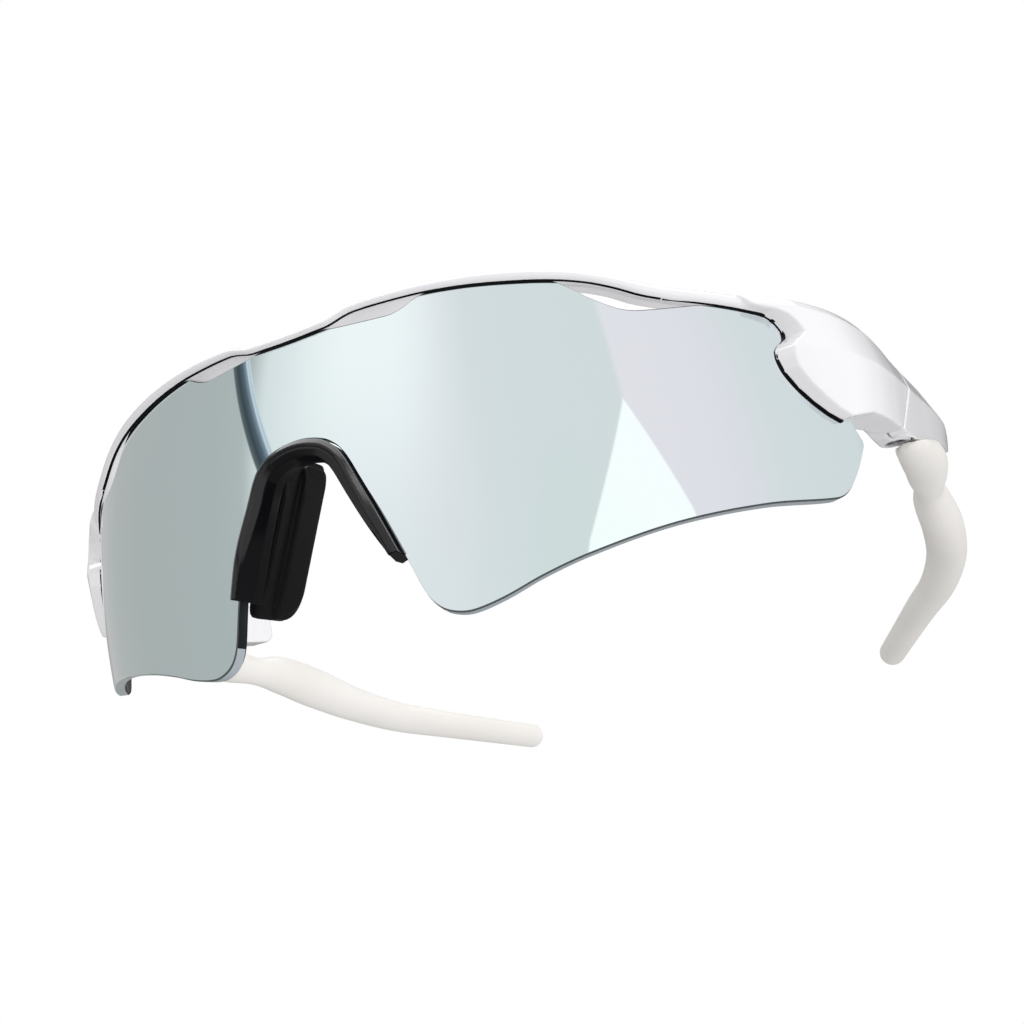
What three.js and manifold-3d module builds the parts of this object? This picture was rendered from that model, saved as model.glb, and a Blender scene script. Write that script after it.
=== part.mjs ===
// Wraparound sport sunglasses: one-piece shield lens hung from a brow frame, with
// two folding temples, rubber ear sleeves and a black nosepiece.
// Millimetres. +Z up, -Y is the front of the glasses, +X is the wearer's left.
// Everything is drawn round the front-most point of the lens and moved at the end
// so that the glasses stand on z = 0 with the origin under the middle.

import * as THREE from 'three';
import Module from 'manifold-3d';

const wasm = await Module();
wasm.setup();

// ---- driving dimensions ----
const LENS_RADIUS = 77;        // radius of the lens seen from above
const LENS_CROWN = 147.7;      // radius of the lens seen from the side
const LENS_TILT = 2.53;        // degrees the top of the lens leans back
const LENS_THICKNESS = 2;
const LENS_END = 63.7;         // degrees from the middle to the side tip
const GAP = 0.35;              // clearance left between neighbouring pieces
const APEX_Y = -80;          // lens apex in the final frame
const APEX_Z = 26.72;

const BROW_FRONT = 1.15;       // front of the brow bar ahead of the lens
const BROW_REAR = -4.4;
const BROW_END = 55.3;          // degrees

const HINGE_X = 70.3;
const HINGE_Y = 62;
const KNUCKLE_RADIUS = 2.5;
const LOWER_KNUCKLE = [-4.9, -2.7];
const TEMPLE_KNUCKLE = [-1.7, 0.7];
const UPPER_KNUCKLE = [1.7, 3.8];
const WASHER_THICKNESS = 0.5;
const SCREW_RADIUS = 0.7;
const SCREW_HEAD_RADIUS = 1.4;
const INSERT_RADIUS = 1.35;

const SEAM_BOTTOM = [55.6, -4.8];  // y, z of the parting line at the hinge
const SEAM_TOP = [65.5, 9];
const SEAM_GAP = 0.5;

const BROW_GASKET = { width: 0.4, rear: 0.4, front: 1.05, end: 41 };
const SIDE_GASKET = { width: 0.6, rear: 0.4, front: 1.2 };

const SLEEVE_START = 65;
const SLEEVE_TIP = 158.5;

const radians = THREE.MathUtils.degToRad;

// ---- small curve helpers ----

// Smooth function through a few (x, y) points, flat at x = 0.
function through(points) {
  const last = points.length - 1;
  const slopes = points.map((point, i) => {
    const before = points[Math.max(i - 1, 0)];
    const after = points[Math.min(i + 1, last)];
    return point[0] === 0 ? 0 : (after[1] - before[1]) / (after[0] - before[0]);
  });
  return (x) => {
    let i = 0;
    while (i < last - 1 && x > points[i + 1][0]) i += 1;
    const [x0, y0] = points[i];
    const [x1, y1] = points[i + 1];
    const width = x1 - x0;
    const t = THREE.MathUtils.clamp((x - x0) / width, 0, 1);
    const rise = y1 - y0;
    const a = slopes[i] * width - rise;
    const b = rise - slopes[i + 1] * width;
    return y0 + rise * t + t * (1 - t) * (a * (1 - t) + b * t);
  };
}

// Straight-line function through (x, y) points.
function straight(points) {
  return (x) => {
    let i = 0;
    while (i < points.length - 2 && x > points[i + 1][0]) i += 1;
    const [x0, y0] = points[i];
    const [x1, y1] = points[i + 1];
    return y0 + (y1 - y0) * THREE.MathUtils.clamp((x - x0) / (x1 - x0), 0, 1);
  };
}

function spread(from, to, count) {
  return Array.from({ length: count + 1 }, (_, i) => from + (to - from) * i / count);
}

// ---- the lens surface: angle round the head, height, distance in front ----
function lensPoint(angle, height, ahead) {
  const sag = Math.sqrt(LENS_CROWN ** 2 - height ** 2) - LENS_CROWN;
  const radius = LENS_RADIUS + sag + ahead;
  const x = radius * Math.sin(radians(angle));
  const y = LENS_RADIUS - radius * Math.cos(radians(angle));
  const c = Math.cos(radians(LENS_TILT));
  const s = Math.sin(radians(LENS_TILT));
  return [x, y * c + height * s, height * c - y * s];
}

// Lower edge of the lens: nose notch, cheek lobe, long sweep up to the side tip.
const lensBottom = through([
  [0, 2.5], [3.1, 1.7], [4.8, 0.1], [5.8, -1.9], [6.9, -5.3], [8.4, -10.2],
  [10.4, -17.4], [11.9, -22.9], [13, -25], [14.5, -26.1], [16.5, -26.4], [19.9, -25.4],
  [24.1, -23.4], [28.9, -21.5], [38.5, -18.6], [48.9, -16.7], [58.2, -15.7],
  [60.2, -14.5], [62, -11.6], [LENS_END, -7.6],
]);

// Upper edge of the lens, mostly inside the brow groove, dipping at the middle
// vents (5 to 16 degrees) and more deeply at the side vents (30 to 46 degrees).
const lensTop = through([
  [0, 18.5], [4, 18.6], [5.5, 18.25], [8, 18], [11, 17.85], [12.2, 17.9], [13.6, 18.5],
  [15, 19.5], [16.5, 20.15], [20, 20], [25, 19.45], [29.5, 18.75], [30.6, 17.95], [32.2, 16.5],
  [33.2, 15.4], [35.9, 13.4], [37.6, 12.8], [40, 12.8], [43, 13.1], [45.7, 13.4], [50, 13.1],
  [52.3, 12.5], [53.8, 11.8], [55.3, 9.8], [57.5, 5.5], [60, 0.8], [62, -3], [LENS_END, -6.4],
]);

// Crest of the brow bar, its front lower edge, and the lower edge of its rear wall,
// which stays in view through the side vents and closes the middle ones.
const browCrest = through([
  [0, 19.3], [5, 19.7], [8, 20.9], [20, 21.4], [29, 20.5], [35.5, 18.6], [41, 16.4],
  [48.5, 15.2], [BROW_END, 14.5],
]);
const browFold = through([
  [0, 18.25], [4.5, 18.5], [5.4, 18.7], [6.9, 19.35], [8.2, 19.7], [12.5, 19.9], [16.2, 19.95],
  [20.6, 19.7], [25.2, 19.15], [29.8, 18.45], [33.4, 17.5], [36.2, 16.3], [38.9, 14.9],
  [41.8, 14.05], [44.9, 13.6], [48.1, 13.1], [51.3, 12.5], [53.4, 12], [54.6, 10.8],
  [BROW_END, 9],
]);
const browThroat = through([
  [0, 18.35], [4.5, 18.6], [5.5, 18.3], [8, 17.9], [11, 17.7], [12.2, 17.75], [13.6, 18.3],
  [15, 19.3], [16.5, 20], [20.6, 19.8], [25.2, 19.25], [29.8, 18.6], [31.5, 18.4], [33.4, 18],
  [36.2, 17], [38.9, 15.6], [41.8, 14.75], [44.9, 14], [48.1, 13.2], [51.3, 12.6], [53.4, 12.1],
  [BROW_END, 9.1],
]);

// ---- solids ----

function bodyOf(positions, faces) {
  const geometry = new THREE.BufferGeometry();
  geometry.setAttribute('position', new THREE.Float32BufferAttribute(positions, 3));
  let volume = 0;
  for (const [i, j, k] of faces) {
    const [a, b, c] = [i, j, k].map((n) => new THREE.Vector3(...positions.slice(3 * n, 3 * n + 3)));
    volume += a.dot(b.cross(c));
  }
  geometry.setIndex(faces.flatMap((f) => (volume > 0 ? f : [f[0], f[2], f[1]])));
  return geometry;
}

// Closed skin over a row of rings with equal point counts.
function loft(rings) {
  const count = rings[0].length;
  const positions = rings.flat(2);
  const faces = [];
  for (let r = 0; r < rings.length - 1; r += 1) {
    for (let p = 0; p < count; p += 1) {
      const q = (p + 1) % count;
      const [a, b] = [r * count + p, r * count + q];
      faces.push([a, b, b + count], [a, b + count, a + count]);
    }
  }
  const lastRing = (rings.length - 1) * count;
  for (let p = 1; p < count - 1; p += 1) {
    faces.push([0, p + 1, p], [lastRing, lastRing + p, lastRing + p + 1]);
  }
  return bodyOf(positions, faces);
}

// Curved sheet with thickness between a lower and an upper edge.
function sheet(angles, rows, lower, upper, front, rear) {
  const heights = spread(0, 1, rows);
  const rings = angles.map((angle) => {
    const at = (share, ahead) => lensPoint(
      angle,
      lower(Math.abs(angle)) + (upper(Math.abs(angle)) - lower(Math.abs(angle))) * share,
      ahead,
    );
    const out = heights.map((share) => at(share, front));
    const back = heights.map((share) => at(share, rear)).reverse();
    return [...out, ...back];
  });
  return gridLoft(rings, rows + 1);
}

// Loft whose end caps are ladders, for thin rings bent along their length.
function gridLoft(rings, half) {
  const count = rings[0].length;
  const positions = rings.flat(2);
  const faces = [];
  for (let r = 0; r < rings.length - 1; r += 1) {
    for (let p = 0; p < count; p += 1) {
      const q = (p + 1) % count;
      const [a, b] = [r * count + p, r * count + q];
      faces.push([a, b, b + count], [a, b + count, a + count]);
    }
  }
  const lastRing = (rings.length - 1) * count;
  for (let p = 0; p < half - 1; p += 1) {
    const [a, b, c, d] = [p, p + 1, count - 2 - p, count - 1 - p];
    faces.push([a, d, c], [a, c, b]);
    faces.push([lastRing + a, lastRing + c, lastRing + d]);
    faces.push([lastRing + a, lastRing + b, lastRing + c]);
  }
  return bodyOf(positions, faces);
}

function toManifold(geometry) {
  const flat = geometry.index ? geometry.toNonIndexed() : geometry;
  const position = flat.getAttribute('position');
  const seen = new Map();
  const vertProperties = [];
  const triVerts = [];
  for (let i = 0; i < position.count; i += 1) {
    const point = [position.getX(i), position.getY(i), position.getZ(i)];
    const key = point.map((value) => Math.round(value * 1e4)).join(' ');
    if (!seen.has(key)) {
      seen.set(key, vertProperties.length / 3);
      vertProperties.push(...point);
    }
    triVerts.push(seen.get(key));
  }
  const triangles = [];
  for (let i = 0; i < triVerts.length; i += 3) {
    const [a, b, c] = triVerts.slice(i, i + 3);
    if (a !== b && b !== c && c !== a) triangles.push(a, b, c);
  }
  return new wasm.Manifold(new wasm.Mesh({
    numProp: 3,
    vertProperties: new Float32Array(vertProperties),
    triVerts: new Uint32Array(triangles),
  }));
}

function fromManifold(solid) {
  const mesh = solid.getMesh();
  const geometry = new THREE.BufferGeometry();
  geometry.setAttribute('position', new THREE.BufferAttribute(new Float32Array(mesh.vertProperties), 3));
  geometry.setIndex([...mesh.triVerts]);
  return geometry;
}

const join = (...parts) => fromManifold(parts.map(toManifold).reduce((a, b) => a.add(b)));
const cut = (body, ...tools) => fromManifold(
  tools.map(toManifold).reduce((a, b) => a.subtract(b), toManifold(body)),
);
const common = (a, b) => fromManifold(toManifold(a).intersect(toManifold(b)));

function mirrored(geometry) {
  const flat = geometry.index ? geometry.toNonIndexed() : geometry.clone();
  const position = flat.getAttribute('position');
  const points = [];
  for (let i = 0; i < position.count; i += 3) {
    for (const k of [i, i + 2, i + 1]) {
      points.push(-position.getX(k), position.getY(k), position.getZ(k));
    }
  }
  const result = new THREE.BufferGeometry();
  result.setAttribute('position', new THREE.Float32BufferAttribute(points, 3));
  return result;
}

// Upright cylinder or ring on the left hinge axis between two heights.
function post(radius, [low, high], hole = 0) {
  const outline = new THREE.Shape();
  outline.absarc(0, 0, radius, 0, 2 * Math.PI, false);
  if (hole) {
    const inside = new THREE.Path();
    inside.absarc(0, 0, hole, 0, 2 * Math.PI, true);
    outline.holes.push(inside);
  }
  const body = new THREE.ExtrudeGeometry(outline, {
    depth: high - low, bevelEnabled: false, curveSegments: 12,
  });
  return body.translate(HINGE_X, HINGE_Y, low);
}

function block([x0, x1], [y0, y1], [z0, z1]) {
  const body = new THREE.BoxGeometry(x1 - x0, y1 - y0, z1 - z0);
  return body.translate((x0 + x1) / 2, (y0 + y1) / 2, (z0 + z1) / 2);
}

// Side outline (y, z) pushed sideways through the left half.
function sideProfile(points) {
  const outline = new THREE.Shape(points.map(([y, z]) => new THREE.Vector2(y, z)));
  const body = new THREE.ExtrudeGeometry(outline, { depth: 40, bevelEnabled: false });
  body.applyMatrix4(new THREE.Matrix4().set(0, 0, 1, 45, 1, 0, 0, 0, 0, 1, 0, 0, 0, 0, 0, 1));
  return body;
}

// ---- shield lens ----
const lensAngles = [
  ...spread(0, 4, 4), ...spread(4.6, 8.6, 6), ...spread(9.4, 16, 6),
  ...spread(18, 56, 19), ...spread(57.2, LENS_END, 6),
];
const bothSides = (angles) => [...angles.slice(1).reverse().map((a) => -a), ...angles];
const lens = sheet(bothSides(lensAngles), 5, lensBottom, lensTop, 0, -LENS_THICKNESS);

// The same lens grown by the clearance, used to cut its groove.
const groove = sheet(
  bothSides([...lensAngles, LENS_END + 0.4]), 5,
  (angle) => lensBottom(angle) - GAP, (angle) => lensTop(angle) + GAP,
  GAP, -LENS_THICKNESS - GAP,
);

// ---- front frame ----
// Section of the brow: a rounded bar hooked over the top edge of the lens, with a
// wall that passes behind it. Each pair is distance in front of the lens, height.
function browRing(angle) {
  const crest = browCrest(Math.abs(angle));
  const fold = browFold(Math.abs(angle));
  const rear = browThroat(Math.abs(angle));
  const rise = crest - fold;
  const shape = [
    [0.5, fold], [0.95, fold + 0.18 * rise], [BROW_FRONT, fold + 0.5 * rise],
    [0.85, fold + 0.8 * rise], [-1, crest], [-3.1, crest - 0.2],
    [BROW_REAR, Math.max(crest - 1, rear + 0.6)], [BROW_REAR, rear + 0.4], [BROW_REAR + 0.5, rear],
    [-2.1, rear], [-1, 0.7 * fold + 0.3 * rear], [0.1, fold],
  ];
  return shape.map(([ahead, height]) => lensPoint(angle, height, ahead));
}
const brow = loft(bothSides(spread(0, BROW_END, 46)).map(browRing));

// Outer face of the end piece and of the temple behind it: a ridge with
// two slanted faces. Values are x by distance back from the lens apex.
const ridgeX = through([
  [27, 61], [30.5, 64.2], [34, 67.3], [40, 71], [46, 73], [52, 73.9], [58, 74.3], [66, 74.8],
  [76, 75.3], [85, 75.3], [94, 74.2],
]);
const innerX = straight([
  [27, 52.5], [34, 58.5], [40, 62.5], [46, 65.6], [52, 68.2], [57, HINGE_X],
  [68, HINGE_X], [76, 69.6], [94, 69.6],
]);
const ridgeZ = straight([[27, 5], [50, 3], [66, 2.6], [94, 2.2]]);
const topZ = through([
  [27, 13.6], [34, 12.6], [42, 11.2], [50, 9.9], [60, 8.3], [75, 7.2], [88, 5.9], [94, 4.4],
]);

function bandRing(y) {
  const [ridge, inner, middle, top] = [ridgeX(y), innerX(y), ridgeZ(y), topZ(y)];
  return [
    [inner, y, -8], [ridge - 1.5, y, -8], [ridge, y, middle], [ridge - 1.3, y, top - 1.4],
    [ridge - 2.2, y, top], [inner + 0.5, y, top], [inner, y, top - 0.5],
  ];
}
const band = (from, to, count) => loft(spread(from, to, count).map(bandRing));

// The parting line, moved back or forward by half of its gap.
const seamShift = (y, side) => y + side * SEAM_GAP / 2;

// Points of the end piece outline where it lies over the lens.
const onLens = (angle, height) => lensPoint(angle, height, 0.5).slice(1);
const endPieceOutline = [
  onLens(50.3, 12.8), onLens(53, 12.2), onLens(54.3, 11.2), onLens(55, 9.8), onLens(55.4, 8.5),
  onLens(54.7, 7.8), onLens(54.1, 7.2), onLens(53.5, 6.2), onLens(53.5, 4.9), onLens(54, 2.9),
  onLens(55.4, 0.5), onLens(57.1, -1.4), onLens(58.9, -2.9), onLens(60.6, -3.8), [44, -4.4],
  [50, -4.6],
  [seamShift(SEAM_BOTTOM[0], -1), SEAM_BOTTOM[1]], [seamShift(SEAM_TOP[0], -1), SEAM_TOP[1]],
  [SEAM_TOP[0] - 6, 16], [26, 16],
];
const endPiece = common(band(27.5, 66.5, 13), sideProfile(endPieceOutline));

// Side outline kept only between two widths.
const sideWeb = (x0, x1, points) => common(sideProfile(points), block([x0, x1], [0, 100], [-30, 30]));
const webInside = HINGE_X - KNUCKLE_RADIUS;
const webOutside = HINGE_X - 0.1;
const upperKnuckle = join(
  sideWeb(webInside, webOutside, [
    [50, UPPER_KNUCKLE[0]], [HINGE_Y, UPPER_KNUCKLE[0]], [HINGE_Y, UPPER_KNUCKLE[1]],
    [50, UPPER_KNUCKLE[1] + 1.5],
  ]),
  post(KNUCKLE_RADIUS, UPPER_KNUCKLE),
);
// The lower knuckle stands on a bracket behind the lower edge of the end piece.
const lowerKnuckle = join(
  sideWeb(webInside, webOutside, [
    [49, 0], [49, -4.4], [57.5, LOWER_KNUCKLE[0]], [HINGE_Y, LOWER_KNUCKLE[0]],
    [HINGE_Y, LOWER_KNUCKLE[1]], [58, LOWER_KNUCKLE[1]], [55.5, 0],
  ]),
  post(KNUCKLE_RADIUS, LOWER_KNUCKLE),
);

const knuckleRoom = post(KNUCKLE_RADIUS + GAP, [LOWER_KNUCKLE[1], UPPER_KNUCKLE[0]]);
const screwBore = post(SCREW_RADIUS + GAP, [LOWER_KNUCKLE[0] - 1, UPPER_KNUCKLE[1] - 0.6]);
const headRecess = post(SCREW_HEAD_RADIUS + GAP, [LOWER_KNUCKLE[0] - 1, LOWER_KNUCKLE[0] + 1.4]);
const insertBore = post(INSERT_RADIUS + GAP, [UPPER_KNUCKLE[0] - 1, UPPER_KNUCKLE[1] - 0.5]);

const leftEnd = cut(
  join(endPiece, upperKnuckle, lowerKnuckle),
  knuckleRoom, screwBore, headRecess, insertBore,
);
const frontFrame = cut(join(brow, leftEnd, mirrored(leftEnd)), groove);

// ---- dark strips where the lens meets the frame ----
function strip(path, { width, rear, front }) {
  const rings = path.map(([angle, height], i) => {
    const [a0, h0] = path[Math.max(i - 1, 0)];
    const [a1, h1] = path[Math.min(i + 1, path.length - 1)];
    const along = new THREE.Vector2((a1 - a0) * radians(LENS_RADIUS), h1 - h0).normalize();
    const [da, dh] = [-along.y / radians(LENS_RADIUS), along.x];
    return [[0, rear], [0, front], [-width, front], [-width, rear]]
      .map(([side, ahead]) => lensPoint(angle + da * side, height + dh * side, ahead));
  });
  return loft(rings);
}
const browStripPath = spread(-BROW_GASKET.end, BROW_GASKET.end, 64).map(
  (angle) => [angle, browFold(Math.abs(angle)) - GAP],
);
const browStrip = strip(browStripPath, BROW_GASKET);
const sideStripPath = new THREE.SplineCurve([
  [42.2, 13.55], [46, 13], [49.8, 12.3], [52.2, 11.8], [53.6, 10.8], [54.3, 9.4], [54.2, 8],
  [53.5, 7.2], [52.9, 5.9], [53, 4.2], [53.9, 1.9], [55.4, -0.3], [57.6, -2.5], [60.2, -4.2],
].map((p) => new THREE.Vector2(...p))).getPoints(30).map((p) => [p.x, p.y]);
const sideStrip = strip(sideStripPath, SIDE_GASKET);

// ---- nosepiece: black arch along the notch with a pad on each side ----
const notchPath = spread(-10.3, 10.3, 34).map((angle) => [angle, lensBottom(Math.abs(angle))]);
function archRing([angle, height], i) {
  const [a0, h0] = notchPath[Math.max(i - 1, 0)];
  const [a1, h1] = notchPath[Math.min(i + 1, notchPath.length - 1)];
  const along = new THREE.Vector2((a1 - a0) * radians(LENS_RADIUS), h1 - h0).normalize();
  const away = (distance) => [
    angle + along.y * distance / radians(LENS_RADIUS), height - along.x * distance,
  ];
  const width = 2.7 - 1.2 * (Math.abs(angle) / 10.3) ** 6;
  const swell = THREE.MathUtils.smoothstep(Math.abs(angle), 6, 9.2);
  const shape = [
    [GAP + 0.1, 0.9 + swell], [GAP + 0.9, 1.3 + swell], [width, 0.8 + swell],
    [width + 0.3, -1], [width, -3],
    [GAP + 0.1, -3],
  ];
  return shape.map(([inward, ahead]) => lensPoint(...away(inward), ahead));
}
const noseArch = loft(notchPath.map(archRing));

// Pad: rounded plate standing back from the lens beside the notch.
const PAD_HEIGHT = 24;
const PAD_DEPTH = 11;
const PAD_THICKNESS = 2.6;
const padTopFront = new THREE.Vector3(6, 4.8, 3.6);
const padBottomFront = new THREE.Vector3(15.4, 5.6, -17.6);
const padTopRear = new THREE.Vector3(6, 15.8, 5);

function roundedPlate(width, height, radius) {
  const [w, h] = [width, height];
  const outline = new THREE.Shape();
  outline.absarc(w - 1.6, 1.6, 1.6, -Math.PI / 2, 0, false);
  outline.absarc(w - radius, h - radius, radius, 0, Math.PI / 2, false);
  outline.absarc(1.2, h - 1.2, 1.2, Math.PI / 2, Math.PI, false);
  outline.absarc(1.2, 1.2, 1.2, Math.PI, Math.PI * 1.5, false);
  return outline;
}
function nosePad() {
  const down = padBottomFront.clone().sub(padTopFront).normalize();
  const back = padTopRear.clone().sub(padTopFront);
  back.addScaledVector(down, -back.dot(down)).normalize();
  const sideways = back.clone().cross(down);
  const body = new THREE.ExtrudeGeometry(roundedPlate(PAD_DEPTH, PAD_HEIGHT, 4.2), {
    depth: PAD_THICKNESS - 1, bevelEnabled: true, bevelThickness: 0.5, bevelSize: 0.5,
    bevelOffset: -0.5, bevelSegments: 2, curveSegments: 6,
  });
  const placing = new THREE.Matrix4().makeBasis(back, down, sideways);
  placing.setPosition(padTopFront);
  return body.applyMatrix4(placing);
}
const leftPad = nosePad();

// ---- hinge hardware ----
const screw = join(
  post(SCREW_HEAD_RADIUS, [LOWER_KNUCKLE[0] + 0.2, LOWER_KNUCKLE[0] + 1.1]),
  post(SCREW_RADIUS, [LOWER_KNUCKLE[0] + 1, UPPER_KNUCKLE[1] - 0.9]),
);
const driverSlot = block(
  [HINGE_X - 2, HINGE_X + 2], [HINGE_Y - 0.2, HINGE_Y + 0.2],
  [LOWER_KNUCKLE[0] - 0.3, LOWER_KNUCKLE[0] + 0.6],
);
const hingeScrew = cut(screw, driverSlot);
const insert = post(INSERT_RADIUS, [UPPER_KNUCKLE[0] + 0.2, UPPER_KNUCKLE[1] - 0.75], SCREW_RADIUS + 0.2);
const washer = (low) => post(KNUCKLE_RADIUS - 0.2, [low, low + WASHER_THICKNESS], SCREW_RADIUS + 0.3);
const lowerWasher = washer(LOWER_KNUCKLE[1] + 0.25);
const upperWasher = washer(TEMPLE_KNUCKLE[1] + 0.25);

// ---- temple: white block, hidden core rod and the rubber sleeve over it ----
// Centre line of the sleeve and half width, half height of its section.
const sleeveCentre = new THREE.CatmullRomCurve3([
  [72.2, SLEEVE_START, -5.6], [72.2, 74, -5.9], [71, 81, -7], [70, 86.5, -7.8],
  [69.1, 94, -8.4], [68.2, 105, -10.6], [66, 116.1, -13.8], [61.6, 126.5, -17],
  [55.5, 136.5, -19.5], [43.9, SLEEVE_TIP, -23.8],
].map((p) => new THREE.Vector3(...p)));
const sleeveWidth = through([
  [SLEEVE_START, 2.7], [73, 3.6], [79, 3.3], [86, 2.4], [93, 3.2], [104, 3.7], [118, 3.6],
  [136, 3.1], [150, 2.8], [SLEEVE_TIP, 2.7],
]);
const sleeveHeight = through([
  [SLEEVE_START, 2.6], [73, 3.7], [79, 3.6], [86, 2.9], [93, 3.9], [104, 4.3], [118, 3.6],
  [136, 3], [150, 2.8], [SLEEVE_TIP, 2.7],
]);
function roundRing(share, width, height, sides, pull = 1) {
  const centre = sleeveCentre.getPoint(share);
  const along = sleeveCentre.getTangent(share);
  const side = along.clone().cross(new THREE.Vector3(0, 0, 1)).normalize();
  const up = side.clone().cross(along);
  return spread(0, 1, sides).slice(0, sides).map((turn) => {
    const a = turn * 2 * Math.PI;
    const point = centre.clone();
    point.addScaledVector(side, Math.cos(a) * width * pull);
    point.addScaledVector(up, Math.sin(a) * height * pull);
    return point.toArray();
  });
}
const SLEEVE_STATIONS = 26;
const sleeveShares = spread(0, 1, SLEEVE_STATIONS);
const sleeveRings = sleeveShares.map((share) => {
  const y = sleeveCentre.getPoint(share).y;
  return roundRing(share, sleeveWidth(y), sleeveHeight(y), 16);
});
const tipAlong = sleeveCentre.getTangent(1);
const tipRings = [0.45, 0.8, 0.98].map((reach) => {
  const size = Math.sqrt(1 - reach ** 2);
  return roundRing(1, sleeveWidth(SLEEVE_TIP), sleeveHeight(SLEEVE_TIP), 16, size)
    .map((p) => new THREE.Vector3(...p).addScaledVector(tipAlong, reach * 2.7).toArray());
});
// The sleeve begins as a rounded wedge under the hinge.
const wedgeRings = [[61.6, 71.6, -5.9, 0.5], [62.6, 71.9, -5.95, 1.2], [63.8, 72.1, -5.8, 1.9],
  [65.3, 72.2, -5.62, 2.5]].map(([y, x, z, size]) => spread(0, 1, 16).slice(0, 16).map((turn) => {
  const a = turn * 2 * Math.PI;
  return [x + (size + 0.3) * Math.cos(a), y, z + size * Math.sin(a)];
}));
const sleeveOuter = join(loft([...sleeveRings, ...tipRings]), loft(wedgeRings));

// The core rod follows the sleeve and starts inside the white block.
const CORE_END = 0.92;
const coreRise = straight([[0, 2.2], [0.05, 1.5], [0.12, 0.2], [1, 0]]);
const coreWidth = straight([[SLEEVE_START, 1.7], [79, 1.7], [86, 1.25], [94, 1.7], [118, 1.7], [160, 1.3]]);
const coreHeight = straight([[SLEEVE_START, 1.7], [79, 1.8], [86, 1.5], [94, 2.1], [118, 1.8], [160, 1.3]]);
function coreLoft(grow) {
  const rings = spread(0.005, CORE_END, 20).map((share) => {
    const y = sleeveCentre.getPoint(share).y;
    return roundRing(share, coreWidth(y) + grow, coreHeight(y) + grow, 12)
      .map(([px, py, pz]) => [px, py, pz + coreRise(share)]);
  });
  if (grow) {
    const end = rings[rings.length - 1];
    const along = sleeveCentre.getTangent(CORE_END);
    rings.push(end.map((p) => new THREE.Vector3(...p).addScaledVector(along, grow).toArray()));
  }
  return loft(rings);
}

const blockBottom = [[57, -5], [62, -5.1], [75, -3], [92, -1]];
function blockOutline(shift) {
  return [
    [seamShift(SEAM_TOP[0], 1), SEAM_TOP[1]], [seamShift(SEAM_BOTTOM[0], 1), SEAM_BOTTOM[1]],
    ...blockBottom.map(([y, z]) => [y, z - shift]), [93.4 + shift, 0.4 - shift],
    [93.4 + shift, 3.6 + shift], [91.5, 5 + shift], [88, 14], [SEAM_TOP[0] + 2, 14],
  ];
}
const templeBlock = common(band(53, 94, 12), sideProfile(blockOutline(0)));
const templeKnuckle = post(KNUCKLE_RADIUS, TEMPLE_KNUCKLE);
const templeWeb = block([HINGE_X - 0.6, HINGE_X + 2.3], [HINGE_Y, HINGE_Y + 5], TEMPLE_KNUCKLE);
const frameKnuckleRoom = [LOWER_KNUCKLE, UPPER_KNUCKLE].map(
  ([low, high]) => post(KNUCKLE_RADIUS + GAP, [low - 0.3, high + 0.3]),
);
const blockWithRoom = cut(
  templeBlock,
  post(KNUCKLE_RADIUS + GAP, [LOWER_KNUCKLE[0], UPPER_KNUCKLE[1] + GAP]),
  block([HINGE_X - 6, HINGE_X + 0.25], [50, HINGE_Y], [-12, 12]),
);
const templeArm = cut(
  join(blockWithRoom, templeKnuckle, templeWeb, coreLoft(0)),
  ...frameKnuckleRoom, post(SCREW_RADIUS + GAP, [-12, 12]),
  post(KNUCKLE_RADIUS + GAP, [LOWER_KNUCKLE[1] - 0.5, TEMPLE_KNUCKLE[0]]),
  post(KNUCKLE_RADIUS + GAP, [TEMPLE_KNUCKLE[1], UPPER_KNUCKLE[1] + 0.3]),
);
const earSleeve = cut(
  sleeveOuter, coreLoft(GAP), sideProfile(blockOutline(GAP)),
  post(KNUCKLE_RADIUS + GAP, [LOWER_KNUCKLE[0] - GAP, UPPER_KNUCKLE[1]]),
);

// ---- named pieces ----
const WHITE = 0xf4f4f2;
const BLACK = 0x101012;
const CREAM = 0xe9e6df;
const STEEL = 0xb9bcc0;
const BRASS = 0xb5934c;
const NYLON = 0xdedcd2;
const MIRROR = 0xc4d0ce;

const group = new THREE.Group();
group.name = 'wraparound_sport_sunglasses';
function add(name, geometry, color) {
  const mesh = new THREE.Mesh(
    geometry.clone().translate(0, APEX_Y, APEX_Z),
    new THREE.MeshStandardMaterial({ color }),
  );
  mesh.name = name;
  group.add(mesh);
}
function addPair(name, geometry, color) {
  add(`left_${name}`, geometry, color);
  add(`right_${name}`, mirrored(geometry), color);
}

add('front_frame', frontFrame, WHITE);
add('shield_lens', lens, MIRROR);
add('nose_bridge', noseArch, BLACK);
add('brow_lens_gasket', browStrip, BLACK);
addPair('side_lens_gasket', sideStrip, BLACK);
addPair('nose_pad', leftPad, BLACK);
addPair('hinge_screw', hingeScrew, STEEL);
addPair('hinge_insert', insert, BRASS);
addPair('hinge_upper_washer', upperWasher, NYLON);
addPair('hinge_lower_washer', lowerWasher, NYLON);
addPair('temple_arm', templeArm, WHITE);
addPair('ear_sleeve', earSleeve, CREAM);

export default group;
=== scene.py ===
import math

import bmesh
import bpy
import numpy as np
from mathutils import Matrix, Vector


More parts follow.
